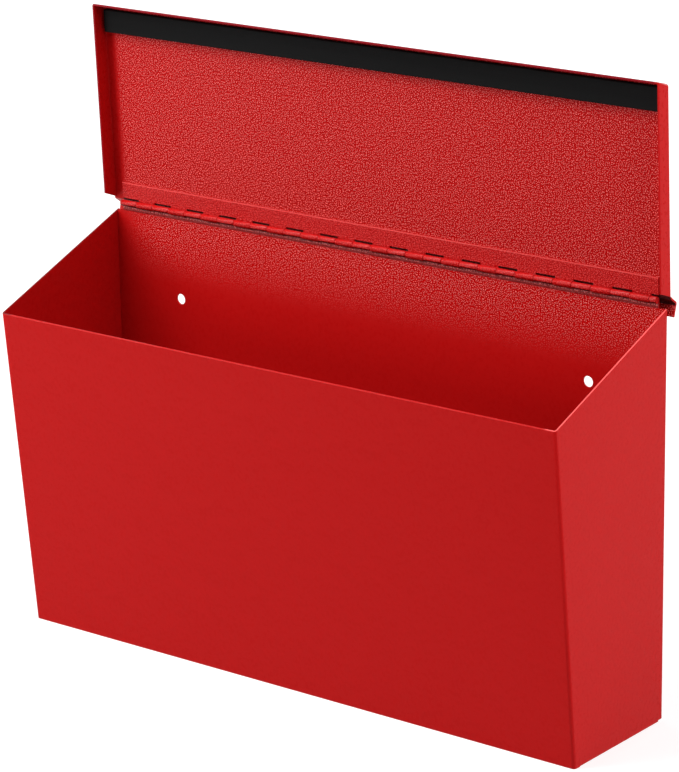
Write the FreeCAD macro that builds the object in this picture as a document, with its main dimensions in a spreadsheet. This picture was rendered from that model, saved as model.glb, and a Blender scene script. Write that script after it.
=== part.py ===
import FreeCAD, Part
import math
import os
import Sketcher

# Wall mailbox of folded steel sheet: an open box with a slanted rim and a lid on a continuous hinge.
# Frame: +X right, +Y back towards the wall, +Z up, in millimetres.
# The origin is on the back face, midway between the two wall screws. The lid stands open.

# Driving dimensions, in millimetres and degrees
SIZES = {
    # Box
    "sheet": 1.0,  # thickness of the folded steel
    "bend_inside": 0.8,  # inside radius of the box's bends
    "body_width": 366,
    "back_height": 221.5,
    "front_height": 182.5,
    "top_depth": 97.3,  # back face to the front's upper edge
    "base_depth": 79.3,  # back face to the front's lower edge
    "weld_gap": 0.1,  # between the two folded sheets along their welds
    "edge_lap": 0.5,  # how far the base reaches under a side wall
    "relief_setback": 5,  # front face to the cut-back of a side wall's lower edge
    # Wall screws
    "screw_spacing": 273.5,
    "screw_height": 176,  # above the base
    "screw_hole": 6,  # diameter
    # Continuous hinge
    "hinge_inset": 4.7,  # box's side to the end of the hinge
    "hinge_rise": 4.3,  # back's upper edge to the pin's axis
    "knuckle_length": 11.75,
    "knuckle_gap": 0.3,  # between neighbouring knuckles
    "leaf_thickness": 0.7,  # also how far the side walls reach behind the back
    "leaf_width": 11.7,  # pin's axis to the free edge of a leaf
    "slot_clearance": 0.8,  # round the other leaf's knuckles
    "roll_seam": 0.3,  # between a knuckle's rolled end and its leaf
    "pin_diameter": 2.0,
    "pin_clearance": 0.05,  # on the radius
    # Lid
    "lid_lean": 2.45,  # forward of upright, as it stands open
    "lid_side_gap": 1.0,  # between a side flange and the box
    "lid_bend_inside": 0.5,
    "front_overhang": 5.8,  # box's front edge to the lid's front fold
    "flange_height": 9.5,
    "flange_start": 2.0,  # pin's axis to the rear end of a side flange, at its fold
    "step_start": 1.7,  # pin's axis to the fold where the rear step begins
    "step_length": 5.95,
    "step_angle": 52,  # the step turns out of the panel
    "lip_length": 7.7,
    "lip_angle": 18.4,  # the rain lip turns back past the panel's direction
    # Cushion strip under the lid's front edge
    "strip_width": 12.7,
    "strip_thickness": 3,
    "strip_gap": 0.4,  # strip to the front flange
    "strip_end_gap": 2,  # strip to each side flange
    "rest_clearance": 0.3,  # strip to the box's front edge, with the lid shut
}

# Dimensions that follow from them; a later one may use an earlier one
WORKED = {
    "half_width": "Sizes.body_width / 2",
    "bend_outside": "Sizes.bend_inside + Sizes.sheet",
    "front_lean": "atan((Sizes.top_depth - Sizes.base_depth) / Sizes.front_height)",
    "base_reach": "Sizes.base_depth - Sizes.sheet / cos(front_lean) - Sizes.weld_gap",
    "relief_depth": "Sizes.base_depth - Sizes.relief_setback",
    "inner_half_width": "half_width - Sizes.sheet",
    "back_half_width": "inner_half_width - Sizes.weld_gap",
    # Hinge
    "hinge_length": "Sizes.body_width - 2 * Sizes.hinge_inset",
    "knuckle_pitch": "2 * Sizes.knuckle_length",
    "bore_radius": "Sizes.pin_diameter / 2 + Sizes.pin_clearance",
    "barrel_radius": "bore_radius + Sizes.leaf_thickness",
    "slot_depth": "barrel_radius + Sizes.slot_clearance",
    "roll_end": "bore_radius - Sizes.roll_seam",
    "axis_depth": "barrel_radius - Sizes.leaf_thickness",
    "axis_height": "Sizes.back_height + Sizes.hinge_rise",
    # Shut lid: how far it slopes when the strip is on the box's front edge
    "rim_reach": "Sizes.top_depth - axis_depth",
    "rim_drop": "axis_height - Sizes.front_height",
    "rim_distance": "sqrt(rim_reach ^ 2 + rim_drop ^ 2)",
    "rest_offset": "Sizes.strip_thickness - barrel_radius + Sizes.rest_clearance",
    "shut_slope": "atan(rim_drop / rim_reach) - asin(rest_offset / rim_distance)",
    # Lid, seen from the pin's axis
    "lid_half_width": "half_width + Sizes.lid_side_gap + Sizes.sheet",
    "lid_inner_half": "lid_half_width - Sizes.sheet",
    "lid_bend_outside": "Sizes.lid_bend_inside + Sizes.sheet",
    "lid_outer": "barrel_radius + Sizes.sheet",
    "flange_edge": "lid_outer - Sizes.flange_height",
    "front_splay": "shut_slope - front_lean",
    "front_fold": "sqrt(rim_distance ^ 2 - rest_offset ^ 2) + Sizes.front_overhang",
    "front_inner_fold": "front_fold - Sizes.sheet * tan((90 deg - front_splay) / 2)",
    "front_edge": "front_fold + Sizes.flange_height * tan(front_splay)",
    "flange_rear": "Sizes.flange_start + Sizes.flange_height * tan(shut_slope)",
    "panel_rear": "Sizes.flange_start + Sizes.sheet * tan(shut_slope)",
    "step_outer_y": "lid_outer + Sizes.step_length * sin(Sizes.step_angle)",
    "step_outer_z": "Sizes.step_start - Sizes.step_length * cos(Sizes.step_angle)",
    "lip_outer_y": "step_outer_y - Sizes.lip_length * sin(Sizes.lip_angle)",
    "lip_outer_z": "step_outer_z - Sizes.lip_length * cos(Sizes.lip_angle)",
    "step_inner_z": "Sizes.step_start - Sizes.sheet * tan(Sizes.step_angle / 2)",
    "lip_mitre": "Sizes.sheet / (1 + cos(Sizes.step_angle + Sizes.lip_angle))",
    "lip_inner_y": "step_outer_y - lip_mitre * (cos(Sizes.step_angle) + cos(Sizes.lip_angle))",
    "lip_inner_z": "step_outer_z - lip_mitre * (sin(Sizes.step_angle) - sin(Sizes.lip_angle))",
    "strip_front": "front_inner_fold - Sizes.strip_gap",
    "strip_rear": "strip_front - Sizes.strip_width",
    "strip_face": "barrel_radius - Sizes.strip_thickness",
    "strip_length": "2 * (lid_inner_half - Sizes.strip_end_gap)",
}

PARTS_FOLDER = "parts"
TOLERANCE = 1e-5
CUBIC_CENTIMETRE = 1000
START, END, CENTRE = 1, 2, 3  # ends and centre of a sketch's line or arc
SKETCH_ORIGIN = -1  # the sketch's own axes, whose start is its origin


# Document and sheets
def add_sheet(doc, name, rows):
    """A spreadsheet with one cell for each name."""
    sheet = doc.addObject("Spreadsheet::Sheet", name)
    for row, (alias, content) in enumerate(rows.items(), start=1):
        cell = f"A{row}"
        sheet.set(cell, str(content))
        sheet.setAlias(cell, alias)
        doc.recompute()
    return sheet


def value(formula):
    """The number that a formula of the sheets gives now."""
    result = sizes.evalExpression(formula)
    return float(getattr(result, "Value", result))


# Sketches
def origin_part(body, role):
    """One of a body's own origin planes or axes."""
    return next(part for part in body.Origin.OriginFeatures if part.Role == role)


def new_sketch(body, name, plane, offset=None):
    """An empty sketch on one of the body's origin planes, or at an offset from it."""
    sketch = body.newObject("Sketcher::SketchObject", f"{body.Name}_{name}")
    sketch.AttachmentSupport = [(origin_part(body, plane), "")]
    sketch.MapMode = "FlatFace"
    if offset:
        sketch.setExpression("AttachmentOffset.Base.z", offset)
    return sketch


def bind(sketch, kind, geometry, point, formula):
    """Pins one coordinate of a point, or a radius, to a formula."""
    arguments = (geometry,) if point is None else (geometry, point)
    index = sketch.addConstraint(Sketcher.Constraint(kind, *arguments, value(formula)))
    sketch.setExpression(f"Constraints[{index}]", formula)


def pin_point(sketch, geometry, point, corner):
    """Pins a point to a pair of formulas, across and up in the sketch."""
    bind(sketch, "DistanceX", geometry, point, corner[0])
    bind(sketch, "DistanceY", geometry, point, corner[1])


def at(corner):
    """A sketch point from a pair of formulas."""
    return FreeCAD.Vector(value(corner[0]), value(corner[1]), 0)


def draw_outline(sketch, corners):
    """A closed outline of straight lines through corners given by formulas."""
    lines = []
    for corner, following in zip(corners, corners[1:] + corners[:1]):
        lines.append(sketch.addGeometry(Part.LineSegment(at(corner), at(following))))
    for line, following in zip(lines, lines[1:] + lines[:1]):
        sketch.addConstraint(Sketcher.Constraint("Coincident", line, END, following, START))
    for line, corner in zip(lines, corners):
        pin_point(sketch, line, START, corner)


def draw_circle(sketch, centre, diameter):
    """A circle whose centre and diameter are formulas."""
    shape = Part.Circle(at(centre), FreeCAD.Vector(0, 0, 1), value(diameter) / 2)
    circle = sketch.addGeometry(shape)
    bind(sketch, "Diameter", circle, None, diameter)
    pin_point(sketch, circle, CENTRE, centre)


def box_corners(low_across, high_across, low_up, high_up):
    """The corners of a rectangle between four formulas."""
    return [(low_across, low_up), (high_across, low_up), (high_across, high_up), (low_across, high_up)]


# Features
def settle(feature):
    """Builds a feature and stops if it failed."""
    feature.Document.recompute()
    if not feature.isValid() or feature.Shape.isNull():
        raise RuntimeError(f"{feature.Name} failed: {feature.getStatusString()}")
    return feature


def pad(body, sketch, length, side="Symmetric"):
    """Material from a sketch, half to each side of it or all to its front."""
    feature = body.newObject("PartDesign::Pad", f"{sketch.Name}_pad")
    feature.Profile = sketch
    feature.SideType = side
    feature.setExpression("Length", length)
    return settle(feature)


def cut_through(body, sketch):
    """A cut from a sketch to both sides, right through; it has to take something away."""
    before = body.Shape.Volume
    feature = body.newObject("PartDesign::Pocket", f"{sketch.Name}_cut")
    feature.Profile = sketch
    feature.SideType = "Symmetric"
    feature.Type = "ThroughAll"
    settle(feature)
    if not feature.Shape.Volume < before - TOLERANCE:
        raise RuntimeError(f"{feature.Name} cuts nothing")
    return feature


def repeat_along_x(body, original, spacing, count):
    """Copies of one feature along X."""
    feature = body.newObject("PartDesign::LinearPattern", f"{original.Name}_row")
    feature.Originals = [original]
    feature.Direction = (origin_part(body, "X_Axis"), [""])
    feature.Mode = "Spacing"
    feature.setExpression("Offset", spacing)
    feature.setExpression("Occurrences", count)
    body.Tip = feature
    return settle(feature)


def round_edges(body, name, radius, wanted):
    """Rounds the edges of the body so far that a test picks."""
    base = body.Tip
    edges = [f"Edge{number}" for number, edge in enumerate(base.Shape.Edges, start=1) if wanted(edge)]
    if not edges:
        raise RuntimeError(f"{name} finds no edge")
    feature = body.newObject("PartDesign::Fillet", f"{body.Name}_{name}")
    feature.Base = (base, edges)
    feature.setExpression("Radius", radius)
    return settle(feature)


def same(first, second):
    """Whether two lengths agree."""
    return math.isclose(first, second, abs_tol=TOLERANCE)


def along_x(y, z):
    """A test for edges that run along X at the given formulas."""
    place_y, place_z = value(y), value(z)
    return lambda edge: all(same(end.Y, place_y) and same(end.Z, place_z) for end in edge.Vertexes)


def along_z(x, y):
    """A test for edges that run along Z at the given formulas, on either side."""
    place_x, place_y = value(x), value(y)

    def is_there(edge):
        on_one_side = same(edge.Vertexes[0].X, edge.Vertexes[-1].X)
        beside = all(same(abs(end.X), place_x) and same(end.Y, place_y) for end in edge.Vertexes)
        return on_one_side and beside

    return is_there


def meeting_at(x, y, z):
    """A test for the edges that meet at a corner given by formulas, on either side."""
    place = [value(formula) for formula in (x, y, z)]

    def is_there(edge):
        ends = [(abs(end.X), end.Y, end.Z) for end in edge.Vertexes]
        return any(all(same(*pair) for pair in zip(end, place)) for end in ends)

    return is_there


def facing(face):
    """The direction that a face looks in, at its middle."""
    low_u, high_u, low_v, high_v = face.ParameterRange
    return face.normalAt((low_u + high_u) / 2, (low_v + high_v) / 2)


def hollow_out(body, is_open):
    """Leaves walls of sheet from the block so far, open at the faces that a test picks."""
    block = body.Tip
    hollow = body.newObject("PartDesign::Thickness", f"{body.Name}_walls")
    faces = [f"Face{number}" for number, face in enumerate(block.Shape.Faces, start=1) if is_open(face)]
    hollow.Base = (block, faces)
    hollow.Reversed = True
    hollow.setExpression("Value", "Sizes.sheet")
    settle(hollow)
    if hollow.Shape.Volume > block.Shape.Volume:
        raise RuntimeError(f"the walls of {body.Name} grew outwards")


# Sub-parts
def new_body(name):
    """An empty sub-part; its label names its file."""
    body = doc.addObject("PartDesign::Body", name)
    body.Label = name
    return body


def place_on_base(body):
    """Sets a sub-part that is drawn from the base and the back face."""
    body.setExpression("Placement.Base.z", "-Sizes.screw_height")


def place_on_hinge(body, lean=None):
    """Sets a sub-part that is drawn round the pin's axis, leaning with the lid where it moves with it."""
    body.setExpression("Placement.Base.y", "-Worked.axis_depth")
    body.setExpression("Placement.Base.z", "Worked.axis_height - Sizes.screw_height")
    if lean:
        body.Placement.Rotation = FreeCAD.Rotation(FreeCAD.Vector(1, 0, 0), value(lean))
        body.setExpression("Placement.Rotation.Angle", lean)


def make_front_and_sides():
    """Front and two side walls, one sheet folded at the front corners."""
    body = new_body("front_and_sides")
    outline = new_sketch(body, "side_view", "YZ_Plane")
    lower_front = ("-Sizes.base_depth", "0")
    upper_front = ("-Sizes.top_depth", "Sizes.front_height")
    lower_rear = ("Sizes.leaf_thickness", "0")
    upper_rear = ("Sizes.leaf_thickness", "Sizes.back_height")
    draw_outline(outline, [lower_rear, lower_front, upper_front, upper_rear])
    block = pad(body, outline, "Sizes.body_width")

    def is_open(face):
        normal = facing(face)
        on_a_side = abs(normal.x) > TOLERANCE
        on_the_front = normal.y < -abs(normal.z)
        return not on_a_side and not on_the_front

    rim = [edge for face in block.Shape.Faces if is_open(face) for edge in face.Edges]

    def is_bend(edge):
        return not any(edge.isSame(other) for other in rim)

    round_edges(body, "bends", "Worked.bend_outside", is_bend)
    hollow_out(body, is_open)

    relief = new_sketch(body, "lower_edge_relief", "YZ_Plane")
    draw_outline(relief, box_corners("-Worked.relief_depth", "Sizes.sheet", "-Sizes.sheet", "Sizes.sheet"))
    cut_through(body, relief)
    place_on_base(body)


def make_back_and_base():
    """Back and base, one sheet folded at the lower rear edge, with the two screw holes."""
    body = new_body("back_and_base")
    profile = new_sketch(body, "side_view", "YZ_Plane")
    draw_outline(profile, [
        ("0", "0"),
        ("0", "Sizes.back_height"),
        ("-Sizes.sheet", "Sizes.back_height"),
        ("-Sizes.sheet", "Sizes.sheet"),
        ("-Worked.base_reach", "Sizes.sheet"),
        ("-Worked.base_reach", "0"),
    ])
    pad(body, profile, "2 * Worked.back_half_width")
    front_corners = along_z("Worked.back_half_width", "-Worked.base_reach")
    round_edges(body, "front_corners", "Worked.bend_outside", front_corners)
    round_edges(body, "outer_bend", "Worked.bend_outside", along_x("0", "0"))
    round_edges(body, "inner_bend", "Sizes.bend_inside", along_x("-Sizes.sheet", "Sizes.sheet"))

    laps = new_sketch(body, "base_laps", "XY_Plane")
    lap_edge = "Worked.inner_half_width + Sizes.edge_lap"
    lap_front = "-Worked.relief_depth + Sizes.weld_gap"
    draw_outline(laps, box_corners(f"-({lap_edge})", lap_edge, lap_front, "-Worked.bend_outside"))
    pad(body, laps, "Sizes.sheet", side="One side")

    holes = new_sketch(body, "screw_holes", "XZ_Plane")
    for side in ("", "-"):
        draw_circle(holes, (f"{side}Sizes.screw_spacing / 2", "Sizes.screw_height"), "Sizes.screw_hole")
    cut_through(body, holes)
    place_on_base(body)


def draw_knuckle(sketch, up):
    """A rolled knuckle and the neck to its leaf, which runs up or down from the pin's axis."""
    sign = "" if up else "-"
    neck_end = f"{sign}Worked.slot_depth"
    outer, bore, roll_end = (value(f"Worked.{name}") for name in ("barrel_radius", "bore_radius", "roll_end"))

    def roll(radius):
        """The arc round the pin, from the neck almost back to it."""
        seam = math.acos(roll_end / radius)
        ends = (seam, 2 * math.pi) if up else (0, 2 * math.pi - seam)
        circle = Part.Circle(FreeCAD.Vector(), FreeCAD.Vector(0, 0, 1), radius)
        return sketch.addGeometry(Part.ArcOfCircle(circle, *ends))

    neck, free = (END, START) if up else (START, END)
    outer_arc = roll(outer)
    bore_arc = roll(bore)
    points = [sketch.getPoint(arc, free) for arc in (outer_arc, bore_arc)]
    end_line = sketch.addGeometry(Part.LineSegment(*points))
    corners = [
        ("Worked.bore_radius", "0"),
        ("Worked.bore_radius", neck_end),
        ("Worked.barrel_radius", neck_end),
        ("Worked.barrel_radius", "0"),
    ]
    lines = []
    for corner, following in zip(corners, corners[1:]):
        lines.append(sketch.addGeometry(Part.LineSegment(at(corner), at(following))))

    joined = [
        (outer_arc, free, end_line, START),
        (bore_arc, free, end_line, END),
        (bore_arc, neck, lines[0], START),
        (lines[0], END, lines[1], START),
        (lines[1], END, lines[2], START),
        (lines[2], END, outer_arc, neck),
        (outer_arc, CENTRE, SKETCH_ORIGIN, START),
        (bore_arc, CENTRE, SKETCH_ORIGIN, START),
    ]
    for ends in joined:
        sketch.addConstraint(Sketcher.Constraint("Coincident", *ends))
    for line, corner in zip(lines, corners):
        pin_point(sketch, line, START, corner)
    pin_point(sketch, lines[-1], END, corners[-1])
    sketch.addConstraint(Sketcher.Constraint("Vertical", end_line))
    bind(sketch, "DistanceX", end_line, START, "Worked.roll_end")


def make_leaf(name, first_knuckle, up, lean=None):
    """One leaf of the continuous hinge, cut to length from a longer one."""
    body = new_body(name)
    start = f"(-Worked.hinge_length / 2 + {first_knuckle})"
    sign = "" if up else "-"

    knuckle = new_sketch(body, "knuckle", "YZ_Plane", offset=start)
    draw_knuckle(knuckle, up)
    rolled = pad(body, knuckle, "Sizes.knuckle_length - Sizes.knuckle_gap", side="One side")
    count = f"ceil((Worked.hinge_length - {first_knuckle}) / Worked.knuckle_pitch)"
    repeat_along_x(body, rolled, "Worked.knuckle_pitch", count)

    flat = new_sketch(body, "flat", "YZ_Plane")
    near, far = f"{sign}Worked.slot_depth", f"{sign}Sizes.leaf_width"
    draw_outline(flat, box_corners("Worked.bore_radius", "Worked.barrel_radius", near, far))
    pad(body, flat, "Worked.hinge_length")

    hinge_end = "Worked.hinge_length / 2"
    if body.Shape.BoundBox.XMax > value(hinge_end) + TOLERANCE:
        cut_line = new_sketch(body, "cut_to_length", "XZ_Plane")
        reach = "Sizes.leaf_width"
        stock_end = f"{hinge_end} + Worked.knuckle_pitch"
        draw_outline(cut_line, box_corners(hinge_end, stock_end, f"-{reach}", reach))
        cut_through(body, cut_line)
    place_on_hinge(body, lean)


def make_pin():
    """Hinge pin, as long as the leaves."""
    body = new_body("hinge_pin")
    section = new_sketch(body, "section", "YZ_Plane")
    draw_circle(section, ("0", "0"), "Sizes.pin_diameter")
    pad(body, section, "Worked.hinge_length")
    place_on_hinge(body)


def make_lid():
    """Lid, a folded tray with welded corners: panel, side flanges, front flange and stepped rain lip."""
    body = new_body("lid")
    outer, inner = "Worked.lid_outer", "Worked.barrel_radius"
    panel_end = (outer, "Sizes.flange_start")

    tray = new_sketch(body, "tray", "YZ_Plane")
    draw_outline(tray, [
        panel_end,
        (outer, "Worked.front_fold"),
        ("Worked.flange_edge", "Worked.front_edge"),
        ("Worked.flange_edge", "Worked.flange_rear"),
    ])
    pad(body, tray, "2 * Worked.lid_half_width")
    hollow_out(body, lambda face: facing(face).y < -TOLERANCE)
    outside, inside = "Worked.lid_bend_outside", "Sizes.lid_bend_inside"
    outer_corners = meeting_at("Worked.lid_half_width", outer, "Worked.front_fold")
    round_edges(body, "tray_outside", outside, outer_corners)
    inner_corners = meeting_at("Worked.lid_inner_half", inner, "Worked.front_inner_fold")
    round_edges(body, "tray_inside", inside, inner_corners)

    lip = new_sketch(body, "step_and_lip", "YZ_Plane")
    draw_outline(lip, [
        panel_end,
        (outer, "Sizes.step_start"),
        ("Worked.step_outer_y", "Worked.step_outer_z"),
        ("Worked.lip_outer_y", "Worked.lip_outer_z"),
        ("Worked.lip_outer_y - Sizes.sheet * cos(Sizes.lip_angle)",
         "Worked.lip_outer_z + Sizes.sheet * sin(Sizes.lip_angle)"),
        ("Worked.lip_inner_y", "Worked.lip_inner_z"),
        (inner, "Worked.step_inner_z"),
        (inner, "Worked.panel_rear"),
    ])
    pad(body, lip, "2 * Worked.lid_half_width")
    round_edges(body, "step_fold_outside", outside, along_x(inner, "Worked.step_inner_z"))
    round_edges(body, "step_fold_inside", inside, along_x(outer, "Sizes.step_start"))
    round_edges(body, "lip_fold_outside", outside, along_x("Worked.step_outer_y", "Worked.step_outer_z"))
    round_edges(body, "lip_fold_inside", inside, along_x("Worked.lip_inner_y", "Worked.lip_inner_z"))
    place_on_hinge(body, "Sizes.lid_lean")


def make_strip():
    """Soft strip that the shut lid rests on, inside its front edge."""
    body = new_body("cushion_strip")
    section = new_sketch(body, "section", "YZ_Plane")
    faces = ("Worked.strip_face", "Worked.barrel_radius")
    draw_outline(section, box_corners(*faces, "Worked.strip_rear", "Worked.strip_front"))
    pad(body, section, "Worked.strip_length")
    place_on_hinge(body, "Sizes.lid_lean")


# Checks and files
def check_document():
    """Stops at any object that failed, and at any sub-part that isn't one sound solid."""
    for item in doc.Objects:
        if {"Invalid", "Error"} & set(item.State):
            raise RuntimeError(f"{item.Name} failed: {item.State}")
    for body in sub_parts():
        if body.Shape.isNull() or not body.Shape.isValid() or len(body.Shape.Solids) != 1:
            raise RuntimeError(f"{body.Label} is not one sound solid")


def sub_parts():
    """The document's sub-parts, in the order they were made."""
    return [item for item in doc.Objects if item.TypeId == "PartDesign::Body"]


def write_parts():
    """One file for each sub-part."""
    os.makedirs(PARTS_FOLDER, exist_ok=True)
    for body in sub_parts():
        body.Shape.exportStep(os.path.join(PARTS_FOLDER, f"{body.Label}.step"))
        print(f"{body.Label}: {body.Shape.Volume / CUBIC_CENTIMETRE:.2f} cm3")


doc = FreeCAD.newDocument("wall_mailbox")
sizes = add_sheet(doc, "Sizes", SIZES)
add_sheet(doc, "Worked", {name: f"={formula}" for name, formula in WORKED.items()})
make_front_and_sides()
make_back_and_base()
make_leaf("body_hinge_leaf", "0", up=False)
make_leaf("lid_hinge_leaf", "Sizes.knuckle_length", up=True, lean="Sizes.lid_lean")
make_pin()
make_lid()
make_strip()
doc.recompute()
check_document()
write_parts()
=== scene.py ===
import math

import bmesh
import bpy
from mathutils import Matrix, Vector


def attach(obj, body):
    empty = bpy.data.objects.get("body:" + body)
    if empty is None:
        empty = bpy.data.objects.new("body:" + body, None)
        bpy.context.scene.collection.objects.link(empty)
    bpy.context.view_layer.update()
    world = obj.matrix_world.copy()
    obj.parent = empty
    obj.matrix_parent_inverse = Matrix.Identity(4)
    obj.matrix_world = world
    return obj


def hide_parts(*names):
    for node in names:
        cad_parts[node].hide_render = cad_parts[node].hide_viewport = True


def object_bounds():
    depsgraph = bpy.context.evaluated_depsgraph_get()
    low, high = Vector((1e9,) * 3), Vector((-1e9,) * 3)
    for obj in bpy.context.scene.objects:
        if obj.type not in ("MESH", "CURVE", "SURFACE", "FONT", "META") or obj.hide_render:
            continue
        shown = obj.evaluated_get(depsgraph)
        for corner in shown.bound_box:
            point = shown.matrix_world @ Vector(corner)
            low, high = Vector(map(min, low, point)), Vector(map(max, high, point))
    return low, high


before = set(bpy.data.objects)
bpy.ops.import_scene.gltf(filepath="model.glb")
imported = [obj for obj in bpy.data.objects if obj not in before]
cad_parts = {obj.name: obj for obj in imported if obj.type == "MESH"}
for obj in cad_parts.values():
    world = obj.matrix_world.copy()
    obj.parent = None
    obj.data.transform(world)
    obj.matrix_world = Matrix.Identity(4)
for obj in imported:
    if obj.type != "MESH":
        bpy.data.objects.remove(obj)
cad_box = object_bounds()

# Looks of a wall mailbox of folded red steel, with its lid open, in the frame of the solids.
# Metres and degrees, unless a comment says otherwise.

MM = 0.001
WHITE = (1, 1, 1, 1)

# Camera, fitted to the box's corners in the photograph
IMAGE_WIDTH, IMAGE_HEIGHT = 679, 772
FOCAL_PIXELS = 3464
SENSOR_MM = 36.0
CAMERA_PLACE = (1.0853, -1.4110, 0.5181)
CAMERA_AZIMUTH = 38.22
CAMERA_ELEVATION = 17.01
CAMERA_ROLL = -0.87

# Where the lid turns, and how far it leans forward as it stands open
AXIS_DEPTH = 1.05 * MM
AXIS_HEIGHT = 49.8 * MM
LID_LEAN = 2.45

# Soft strip, from the lid's axis: half its length, its lower and upper edge, its rear and its face
STRIP_HALF_LENGTH = 182.0 * MM
STRIP_LOW, STRIP_HIGH = 97.5 * MM, 110.2 * MM
STRIP_BACK, STRIP_FACE = 1.75 * MM, -1.25 * MM
STRIP_CORNER = 0.7 * MM
STRIP_CORNER_STEPS, STRIP_FACE_STEPS, STRIP_ROWS = 4, 8, 120

# Edges of the painted sheet
EDGE_RADIUS = 0.2 * MM
HINGE_EDGE_RADIUS = 0.3 * MM
EDGE_SEGMENTS = 2
MERGE_DISTANCE = 0.001 * MM
SHARP_ANGLE = 30

# The range that most of a noise texture's values lie in
NOISE_RANGE = (0.3, 0.7)

# Red powder coat, faintly mottled
RED_DEEP, RED_LIGHT = (0.470, 0.0050, 0.0052), (0.520, 0.0062, 0.0064)
RED_ROUGHNESS = (0.26, 0.32)
MOTTLE_SCALE = 420

# Its pebbled grain: how far from a pebble's middle its foot and its top lie, in pebbles, and the heights,
# from 0 to 1, between which the colour between the pebbles and the painted glints on the crests come in
PEBBLES_PER_METRE = 960
PEBBLE_RANDOMNESS = 0.85
PEBBLE_FOOT, PEBBLE_TOP = 0.55, 0.05
VALLEY_HEIGHTS, CREST_HEIGHTS = (0.40, 0.0), (0.66, 0.96)
SHEET_GRAIN_DEPTH, LEAF_GRAIN_DEPTH = 0.15 * MM, 0.1 * MM

# Colours between the pebbles, painted darker as shade on the lid and the leaves, and of the painted glints on
# their crests
LID_GRAIN_SHADE_AND_GLINTS = ((0.415, 0.0011, 0.0013), (1.0, 0.225, 0.212))
BACK_GRAIN_SHADE_AND_GLINTS = ((0.490, 0.0011, 0.0013), (1.0, 0.275, 0.260))
LEAF_GRAIN_SHADE_AND_GLINTS = ((0.415, 0.0011, 0.0013), (0.80, 0.060, 0.057))

# Which faces count as looking straight forwards, forwards and upwards, by their normals: from none to all
STRAIGHT_FORWARDS, FORWARDS, UPWARDS = (-0.6, -0.95), (-0.4, -0.6), (0.80, 0.90)

# What lies behind the rims of the lid's flanges: along Y, from none to all of it
BEHIND_RIMS = (-7.0 * MM, -6.0 * MM)

# Where the grain, with its painted glints, fades out where shade lies: by axis, from none to all of it
LID_SHADE_FADES = (("X", -0.1785, -0.1737),)
BACK_SHADE_FADES = (("X", -0.180, -0.150), ("Z", 0.005, 0.042))

# Lines along the hinge, by height in millimetres, with their colours between the pebbles and on them:
# a painted highlight along the top edge of the lid's leaf; under the barrel, painted shade above the back's
# rim, a speckled line of thin bare coat with painted highlights, and the barrel's painted shadow;
# and painted shade in the slots behind the knuckles and on the lid's step below them
LEAF_EDGE_HIGHLIGHT = ((60.85, 63.0, (0.66, 0.050, 0.048), (0.80, 0.080, 0.076)),)
BARREL_SHADE_AND_BARE_LINES = (
    (45.0, 46.3, (0.24, 0.010, 0.010), (0.34, 0.014, 0.014)),
    (46.6, 47.4, (0.22, 0.016, 0.015), (0.95, 0.220, 0.205)),
    (47.6, 49.0, (0.05, 0.003, 0.003), (0.07, 0.004, 0.004)),
)
SLOT_SHADE_LINE = ((46.8, 52.5, (0.050, 0.003, 0.003), (0.060, 0.003, 0.003)),)
LINE_SOFTNESS = 0.15
LINES_LEFT_END = (-0.179, -0.178)

# Shaded rims of the lid's flanges: their colour, and where it ends before the right one, along X
RED_RIM = (0.280, 0.0060, 0.0130)
RIM_RIGHT_END = (0.183, 0.182)

# Painted highlight on the right wall's upper edge and painted shade on the left wall's: along X, from none to
# all of it, and their colour
WALL_RIM_HIGHLIGHT_AND_SHADE = (
    (0.175, 0.178, (1.0, 0.140, 0.135)),
    (-0.175, -0.178, (0.14, 0.0010, 0.0020)),
)

# Drawn steel wire with lines along X, and its ends, by their normals
STEEL_DARK, STEEL_LIGHT = (0.42, 0.42, 0.43), (0.60, 0.60, 0.61)
STEEL_ROUGHNESS = (0.28, 0.42)
STEEL_SPECULAR = 0.2
STEEL_STRETCH, STEEL_SCALE = (0.02, 1, 1), 4000
WIRE_ENDS = (0.4, 0.6)

# Black sponge rubber with pores and bands along X
RUBBER_DARK, RUBBER_LIGHT = (0.0030, 0.0030, 0.0031), (0.0060, 0.0060, 0.0061)
RUBBER_ROUGHNESS = (0.70, 0.85)
RUBBER_SPECULAR = 0.07
BAND_STRETCH, BAND_SCALE = (0.03, 1, 1), 260
PORE_SCALE, PORE_DETAIL, PORE_ROUGHNESS = 1800, 3, 0.6
PORE_DEPTH, PORE_STRENGTH = 0.08 * MM, 0.35

# Floor, with its glow near the box and away from it, and the world's light
FLOOR_HALF_WIDTH = 30.0
FLOOR_COLOUR = (0.45, 0.45, 0.45, 1)
FLOOR_ROUGHNESS, FLOOR_SPECULAR = 0.9, 0.1
GLOW_DISTANCES, GLOW_STRENGTHS = (0.3, 2.0), (0.7, 1.0)
AMBIENT_STRENGTH, BACKDROP_STRENGTH = 0.06, 1.0

# Soft square lamps, and the point that they look at: name, place, width in metres and power in watts
LAMP_TARGET = (0, -0.05, 0)
LAMPS = (
    ("front_left", (-1.1, -1.35, 0.12), 0.5, 9.5),
    ("high_left", (-0.95, -1.0, 0.85), 0.6, 9),
    ("overhead", (-0.45, -0.55, 1.3), 0.8, 18),
    ("right", (1.7, 0.45, 0.3), 0.8, 14),
    ("right_high", (1.4, -0.3, 0.9), 0.8, 10.5),
    ("behind", (-1.2, 0.64, 1.45), 0.8, 5),
    ("rear_fill", (0.2, 1.8, 0.5), 0.9, 15),
)


def node_tree(name):
    """A new material with a Principled shader: the material, its tree and the shader."""
    material = bpy.data.materials.new(name)
    material.use_nodes = True
    tree = material.node_tree
    return material, tree, tree.nodes["Principled BSDF"]


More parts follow.
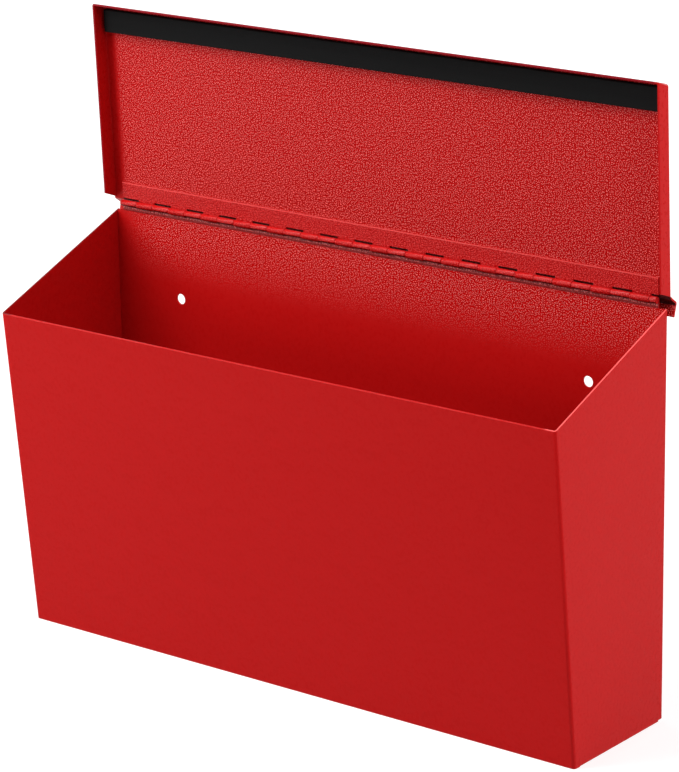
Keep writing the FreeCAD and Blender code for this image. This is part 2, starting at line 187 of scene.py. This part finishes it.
def noise(tree, place, scale, detail=2.0, roughness=0.5):
    """A noise texture."""
    texture = tree.nodes.new("ShaderNodeTexNoise")
    texture.inputs["Scale"].default_value = scale
    texture.inputs["Detail"].default_value = detail
    texture.inputs["Roughness"].default_value = roughness
    tree.links.new(place, texture.inputs["Vector"])
    return texture.outputs["Fac"]


def stretched(tree, place, scale):
    """Places scaled along each axis."""
    mapping = tree.nodes.new("ShaderNodeMapping")
    mapping.inputs["Scale"].default_value = scale
    tree.links.new(place, mapping.inputs["Vector"])
    return mapping.outputs["Vector"]


def separate(tree, vector):
    """A vector's X, Y and Z."""
    split = tree.nodes.new("ShaderNodeSeparateXYZ")
    tree.links.new(vector, split.inputs["Vector"])
    return split.outputs


def spread(tree, source, low, high, to_low=0.0, to_high=1.0):
    """Maps a value from one range to another, smoothly."""
    mapping = tree.nodes.new("ShaderNodeMapRange")
    mapping.interpolation_type = "SMOOTHSTEP"
    mapping.inputs["From Min"].default_value = low
    mapping.inputs["From Max"].default_value = high
    mapping.inputs["To Min"].default_value = to_low
    mapping.inputs["To Max"].default_value = to_high
    tree.links.new(source, mapping.inputs["Value"])
    return mapping.outputs["Result"]


def mix_colours(tree, factor, first, second):
    """A colour between two others."""
    mix = tree.nodes.new("ShaderNodeMix")
    mix.data_type = "RGBA"
    tree.links.new(factor, mix.inputs["Factor"])
    for socket, colour in (("A", first), ("B", second)):
        target = next(i for i in mix.inputs if i.name == socket and i.type == "RGBA")
        if isinstance(colour, tuple):
            target.default_value = (*colour, 1)
        else:
            tree.links.new(colour, target)
    return next(o for o in mix.outputs if o.type == "RGBA")


def calculate(tree, operation, first, second):
    """Arithmetic on two sockets or numbers."""
    node = tree.nodes.new("ShaderNodeMath")
    node.operation = operation
    for socket, operand in zip(node.inputs, (first, second)):
        if isinstance(operand, (int, float)):
            socket.default_value = operand
        else:
            tree.links.new(operand, socket)
    return node.outputs["Value"]


def multiply(tree, first, second):
    """The product of two sockets."""
    return calculate(tree, "MULTIPLY", first, second)


def add_bump(tree, shader, heights, depth, strength):
    """Gives a shader a bump; its strength is a socket or a number."""
    bump = tree.nodes.new("ShaderNodeBump")
    bump.inputs["Distance"].default_value = depth
    if isinstance(strength, float):
        bump.inputs["Strength"].default_value = strength
    else:
        tree.links.new(strength, bump.inputs["Strength"])
    tree.links.new(heights, bump.inputs["Height"])
    tree.links.new(bump.outputs["Normal"], shader.inputs["Normal"])


def red_coat(name, specular):
    """Red powder coat: the material, its tree, its shader, its colour so far, and its places and normals."""
    material, tree, shader = node_tree(name)
    coordinates = tree.nodes.new("ShaderNodeTexCoord").outputs
    mottle = noise(tree, coordinates["Object"], MOTTLE_SCALE)
    colour = mix_colours(tree, mottle, RED_DEEP, RED_LIGHT)
    roughness = spread(tree, mottle, *NOISE_RANGE, *RED_ROUGHNESS)
    tree.links.new(roughness, shader.inputs["Roughness"])
    shader.inputs["Specular IOR Level"].default_value = specular
    place, normal = separate(tree, coordinates["Object"]), separate(tree, coordinates["Normal"])
    return material, tree, shader, colour, place, normal


def smooth_paint(name, specular):
    """Smooth red coat, with a painted highlight on the right wall's upper edge and painted shade on the left
    one's.
    """
    material, tree, shader, colour, place, normal = red_coat(name, specular)
    upwards = spread(tree, normal["Z"], *UPWARDS)
    # Painted highlight on the right wall's upper edge, painted shade on the left wall's
    for start, full, painted_rim_colour in WALL_RIM_HIGHLIGHT_AND_SHADE:
        on_wall = spread(tree, place["X"], start, full)
        colour = mix_colours(tree, multiply(tree, upwards, on_wall), colour, painted_rim_colour)
    tree.links.new(colour, shader.inputs["Base Color"])
    return material


def pebble_heights(tree, place):
    """Small round pebbles, packed closely over X and Z: 1 on their crests and 0 between them."""
    flat = tree.nodes.new("ShaderNodeCombineXYZ")
    tree.links.new(place["X"], flat.inputs["X"])
    tree.links.new(place["Z"], flat.inputs["Y"])
    cells = tree.nodes.new("ShaderNodeTexVoronoi")
    cells.voronoi_dimensions = "2D"
    cells.inputs["Scale"].default_value = PEBBLES_PER_METRE
    cells.inputs["Randomness"].default_value = PEBBLE_RANDOMNESS
    tree.links.new(flat.outputs["Vector"], cells.inputs["Vector"])
    return spread(tree, cells.outputs["Distance"], PEBBLE_FOOT, PEBBLE_TOP)


def line_mask(tree, height, low, high):
    """1 between two heights in millimetres, fading out beyond them."""
    above = spread(tree, height, (low - LINE_SOFTNESS) * MM, low * MM)
    below = spread(tree, height, (high + LINE_SOFTNESS) * MM, high * MM)
    return multiply(tree, above, below)


def grained_paint(name, specular, depth, grain, lines=(), rim=None, fades=()):
    """Red coat with a fine pebbled grain on the faces inside that look forwards, with painted glints on its
    crests and a colour between them, and smooth elsewhere.
    """
    material, tree, shader, colour, place, normal = red_coat(name, specular)
    pebbles = pebble_heights(tree, place)
    forwards = spread(tree, normal["Y"], *FORWARDS)
    behind_rims = spread(tree, place["Y"], *BEHIND_RIMS)

    inside = multiply(tree, spread(tree, normal["Y"], *STRAIGHT_FORWARDS), behind_rims)
    # The grain and its painted glints fade out where shade lies
    for axis, start, full in fades:
        inside = multiply(tree, inside, spread(tree, place[axis], start, full))
    # Colours between the pebbles, partly painted shade, and painted glints on their crests
    for heights, painted_light_colour in zip((VALLEY_HEIGHTS, CREST_HEIGHTS), grain):
        mask = multiply(tree, spread(tree, pebbles, *heights), inside)
        colour = mix_colours(tree, mask, colour, painted_light_colour)
    add_bump(tree, shader, pebbles, depth, inside)

    # Lines along the hinge: painted highlight, painted shade and shadow, and thin bare coat with painted
    # highlights
    on_hinge = multiply(tree, forwards, spread(tree, place["X"], *LINES_LEFT_END))
    for low, high, between, on_crests in lines:
        line_colour = mix_colours(tree, pebbles, between, on_crests)
        mask = multiply(tree, line_mask(tree, place["Z"], low, high), on_hinge)
        colour = mix_colours(tree, mask, colour, line_colour)

    if rim:
        on_rims = multiply(tree, forwards, calculate(tree, "SUBTRACT", 1, behind_rims))
        shaded = spread(tree, place["X"], *RIM_RIGHT_END)
        colour = mix_colours(tree, multiply(tree, on_rims, shaded), colour, rim)
    tree.links.new(colour, shader.inputs["Base Color"])
    return material


def drawn_steel(name):
    """Plain drawn wire with fine lines along X; its ends are painted over."""
    material, tree, shader = node_tree(name)
    coordinates = tree.nodes.new("ShaderNodeTexCoord").outputs
    lines = noise(tree, stretched(tree, coordinates["Object"], STEEL_STRETCH), STEEL_SCALE)
    steel = mix_colours(tree, lines, STEEL_DARK, STEEL_LIGHT)
    sideways = calculate(tree, "ABSOLUTE", separate(tree, coordinates["Normal"])["X"], 0)
    painted = spread(tree, sideways, *WIRE_ENDS)
    tree.links.new(mix_colours(tree, painted, steel, RED_DEEP), shader.inputs["Base Color"])
    tree.links.new(calculate(tree, "SUBTRACT", 1, painted), shader.inputs["Metallic"])
    tree.links.new(spread(tree, lines, *NOISE_RANGE, *STEEL_ROUGHNESS), shader.inputs["Roughness"])
    shader.inputs["Specular IOR Level"].default_value = STEEL_SPECULAR
    return material


def sponge_rubber(name):
    """Matt black sponge rubber: fine pores and faint bands along the strip."""
    material, tree, shader = node_tree(name)
    place = tree.nodes.new("ShaderNodeTexCoord").outputs["Object"]
    pores = noise(tree, place, PORE_SCALE, PORE_DETAIL, PORE_ROUGHNESS)
    bands = noise(tree, stretched(tree, place, BAND_STRETCH), BAND_SCALE)
    tree.links.new(mix_colours(tree, bands, RUBBER_DARK, RUBBER_LIGHT), shader.inputs["Base Color"])
    tree.links.new(spread(tree, pores, *NOISE_RANGE, *RUBBER_ROUGHNESS), shader.inputs["Roughness"])
    shader.inputs["Specular IOR Level"].default_value = RUBBER_SPECULAR
    add_bump(tree, shader, pores, PORE_DEPTH, PORE_STRENGTH)
    return material


def soften_edges(node, radius):
    """Small radii on a node's sharp edges, where the coat runs round them."""
    weld = node.modifiers.new("join_faces", "WELD")
    weld.merge_threshold = MERGE_DISTANCE
    bevel = node.modifiers.new("soft_edges", "BEVEL")
    bevel.width = radius
    bevel.segments = EDGE_SEGMENTS
    bevel.limit_method = "ANGLE"
    bevel.angle_limit = math.radians(SHARP_ANGLE)


def dress(name, material, edge_radius=None):
    """Gives a node of the solids its material and soft edges."""
    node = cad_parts[name]
    node.data.materials.clear()
    node.data.materials.append(material)
    if edge_radius:
        soften_edges(node, edge_radius)


def new_object(name, data):
    """A new object in the scene."""
    made = bpy.data.objects.new(name, data)
    bpy.context.scene.collection.objects.link(made)
    return made


def on_lid(x, y, z):
    """A point given from the lid's axis, with the lid upright, as it lies in the frame."""
    lean = math.radians(LID_LEAN)
    across = y * math.cos(lean) - z * math.sin(lean)
    up = y * math.sin(lean) + z * math.cos(lean)
    return Vector((x, across - AXIS_DEPTH, up + AXIS_HEIGHT))


def strip_outline():
    """The strip's section: its rounded lower edge, its face, its rounded upper edge and its flat rear."""
    corner = []
    for step in range(STRIP_CORNER_STEPS + 1):
        turn = math.pi / 2 * step / STRIP_CORNER_STEPS
        corner.append((STRIP_FACE + STRIP_CORNER * (1 - math.sin(turn)), STRIP_CORNER * (1 - math.cos(turn))))
    outline = [(y, STRIP_LOW + inset) for y, inset in corner]
    face_height = STRIP_HIGH - STRIP_LOW - 2 * STRIP_CORNER
    for step in range(1, STRIP_FACE_STEPS):
        outline.append((STRIP_FACE, STRIP_LOW + STRIP_CORNER + step / STRIP_FACE_STEPS * face_height))
    outline += [(y, STRIP_HIGH - inset) for y, inset in reversed(corner)]
    return outline + [(STRIP_BACK, STRIP_HIGH), (STRIP_BACK, STRIP_LOW)]


def make_strip(material):
    """Soft strip inside the lid's front edge, with a flat face and rounded edges."""
    outline = strip_outline()
    count = len(outline)
    mesh = bmesh.new()
    rings = []
    for row in range(STRIP_ROWS + 1):
        x = -STRIP_HALF_LENGTH + 2 * STRIP_HALF_LENGTH * row / STRIP_ROWS
        rings.append([mesh.verts.new(on_lid(x, y, z)) for y, z in outline])
    for first, second in zip(rings, rings[1:]):
        for index in range(count):
            following = (index + 1) % count
            mesh.faces.new((first[index], first[following], second[following], second[index]))
    mesh.faces.new(reversed(rings[0]))
    mesh.faces.new(rings[-1])
    bmesh.ops.recalc_face_normals(mesh, faces=mesh.faces)
    data = bpy.data.meshes.new("cushion_strip_foam")
    mesh.to_mesh(data)
    mesh.free()
    data.materials.append(material)
    strip = new_object("cushion_strip_foam", data)
    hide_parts("cushion_strip")
    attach(strip, "lid")


def make_camera():
    """Camera at the photograph's view."""
    data = bpy.data.cameras.new("camera")
    data.sensor_width = SENSOR_MM
    data.lens = FOCAL_PIXELS * SENSOR_MM / max(IMAGE_WIDTH, IMAGE_HEIGHT)
    camera = new_object("camera", data)
    turn = Matrix.Rotation(math.radians(CAMERA_AZIMUTH), 4, "Z")
    tilt = Matrix.Rotation(math.radians(90 - CAMERA_ELEVATION), 4, "X")
    roll = Matrix.Rotation(math.radians(CAMERA_ROLL), 4, "Z")
    camera.matrix_world = Matrix.Translation(CAMERA_PLACE) @ turn @ tilt @ roll
    bpy.context.scene.camera = camera


def add_lamp(name, place, width, power):
    """A square soft lamp that looks at the box."""
    data = bpy.data.lights.new(name, "AREA")
    data.shape = "SQUARE"
    data.size = width
    data.energy = power
    lamp = new_object(name, data)
    lamp.location = place
    lamp.rotation_euler = (Vector(LAMP_TARGET) - Vector(place)).to_track_quat("-Z", "Y").to_euler()


def seen_plainly(tree):
    """1 for what the camera sees directly, mirrored or through a clear piece; 0 for light on the object."""
    rays = tree.nodes.new("ShaderNodeLightPath").outputs
    mirrored = calculate(tree, "MAXIMUM", rays["Is Glossy Ray"], rays["Is Transmission Ray"])
    return calculate(tree, "MAXIMUM", rays["Is Camera Ray"], mirrored)


def floor_white():
    """Pale matt floor that glows to the camera, less so near the box, where its shadow lies."""
    material, tree, shader = node_tree("floor_white")
    shader.inputs["Base Color"].default_value = FLOOR_COLOUR
    shader.inputs["Roughness"].default_value = FLOOR_ROUGHNESS
    shader.inputs["Specular IOR Level"].default_value = FLOOR_SPECULAR
    shader.inputs["Emission Color"].default_value = WHITE
    distance = tree.nodes.new("ShaderNodeVectorMath")
    distance.operation = "LENGTH"
    tree.links.new(tree.nodes.new("ShaderNodeTexCoord").outputs["Object"], distance.inputs[0])
    glow = spread(tree, distance.outputs["Value"], *GLOW_DISTANCES, *GLOW_STRENGTHS)
    tree.links.new(multiply(tree, seen_plainly(tree), glow), shader.inputs["Emission Strength"])
    return material


def make_floor():
    """Pale floor under the box."""
    half, low = FLOOR_HALF_WIDTH, cad_box[0].z
    corners = [(-half, -half, low), (half, -half, low), (half, half, low), (-half, half, low)]
    data = bpy.data.meshes.new("floor")
    data.from_pydata(corners, [], [(0, 1, 2, 3)])
    data.materials.append(floor_white())
    new_object("floor", data)


def make_world():
    """Low even ambient light; white to the camera."""
    world = bpy.data.worlds.new("studio")
    bpy.context.scene.world = world
    world.use_nodes = True
    tree = world.node_tree
    background = tree.nodes["Background"]
    background.inputs["Color"].default_value = WHITE
    strength = spread(tree, seen_plainly(tree), 0, 1, AMBIENT_STRENGTH, BACKDROP_STRENGTH)
    tree.links.new(strength, background.inputs["Strength"])


make_camera()
box_paint = smooth_paint("red_paint_smooth", specular=0.06)
back_paint = grained_paint("red_paint_back", specular=0.04, depth=SHEET_GRAIN_DEPTH,
                           grain=BACK_GRAIN_SHADE_AND_GLINTS, fades=BACK_SHADE_FADES)
lid_paint = grained_paint("red_paint_lid", specular=0.05, depth=SHEET_GRAIN_DEPTH,
                          grain=LID_GRAIN_SHADE_AND_GLINTS, lines=SLOT_SHADE_LINE, rim=RED_RIM, fades=LID_SHADE_FADES)
body_leaf_paint = grained_paint("red_paint_body_leaf", specular=0.15, depth=LEAF_GRAIN_DEPTH,
                                grain=LEAF_GRAIN_SHADE_AND_GLINTS, lines=BARREL_SHADE_AND_BARE_LINES)
lid_leaf_paint = grained_paint("red_paint_lid_leaf", specular=0.10, depth=LEAF_GRAIN_DEPTH,
                               grain=LEAF_GRAIN_SHADE_AND_GLINTS, lines=LEAF_EDGE_HIGHLIGHT)
dress("front_and_sides", box_paint, EDGE_RADIUS)
dress("back_and_base", back_paint, EDGE_RADIUS)
dress("lid", lid_paint, EDGE_RADIUS)
dress("body_hinge_leaf", body_leaf_paint, HINGE_EDGE_RADIUS)
dress("lid_hinge_leaf", lid_leaf_paint, HINGE_EDGE_RADIUS)
dress("hinge_pin", drawn_steel("drawn_steel"))
make_strip(sponge_rubber("sponge_rubber"))

make_floor()
make_world()
for lamp_settings in LAMPS:
    add_lamp(*lamp_settings)

bpy.context.scene.view_settings.view_transform = "Standard"
